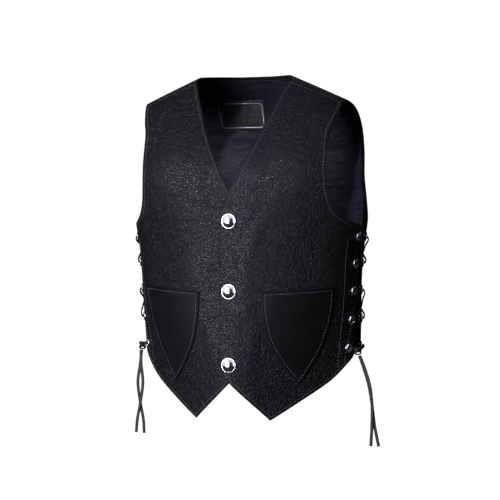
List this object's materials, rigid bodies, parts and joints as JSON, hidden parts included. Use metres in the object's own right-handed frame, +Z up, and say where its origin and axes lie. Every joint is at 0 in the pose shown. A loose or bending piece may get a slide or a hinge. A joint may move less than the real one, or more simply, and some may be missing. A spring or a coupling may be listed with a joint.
{
  "type": "leather vest",
  "caption": "Hip length leather vest with a V neck, snap closing, two pointed fronts, patch pockets and laced sides.",
  "frame": {"origin": "midway between the shoulders, on the line along which the shoulders carry the vest", "axes": "+Z up, -Y to the garment's front, +X to the wearer's left"},
  "size_m": [0.3324, 0.1953, 0.4812],
  "materials": {
    "leather": "pebbled, semi gloss",
    "pocket_leather": "smooth, matt",
    "satin": "satin",
    "nickel": "polished nickel",
    "thong": "matt",
    "woven_label": "woven"
  },
  "bodies": {
    "root": {"front_left": "leather", "front_right": "leather", "back": "leather", "back_lining": "satin", "pocket_left": "pocket_leather", "pocket_right": "pocket_leather", "snap_cap_1": "nickel", "snap_back_1": "nickel", "snap_cap_2": "nickel", "snap_back_2": "nickel", "snap_cap_3": "nickel", "snap_back_3": "nickel", "eyelet_front_left_1": "nickel", "eyelet_front_left_2": "nickel", "eyelet_front_left_3": "nickel", "eyelet_front_left_4": "nickel", "eyelet_front_left_5": "nickel", "eyelet_back_left_1": "nickel", "eyelet_back_left_2": "nickel", "eyelet_back_left_3": "nickel", "eyelet_back_left_4": "nickel", "eyelet_back_left_5": "nickel", "eyelet_front_right_1": "nickel", "eyelet_front_right_2": "nickel", "eyelet_front_right_3": "nickel", "eyelet_front_right_4": "nickel", "eyelet_front_right_5": "nickel", "eyelet_back_right_1": "nickel", "eyelet_back_right_2": "nickel", "eyelet_back_right_3": "nickel", "eyelet_back_right_4": "nickel", "eyelet_back_right_5": "nickel", "lace_left": "thong", "knot_left": "thong", "lace_right": "thong", "knot_right": "thong", "tail_left_1": "thong", "tail_left_2": "thong", "tail_right_1": "thong", "tail_right_2": "thong", "neck_label": "woven_label", "neck_tab": "woven_label"}
  },
  "joints": []
}
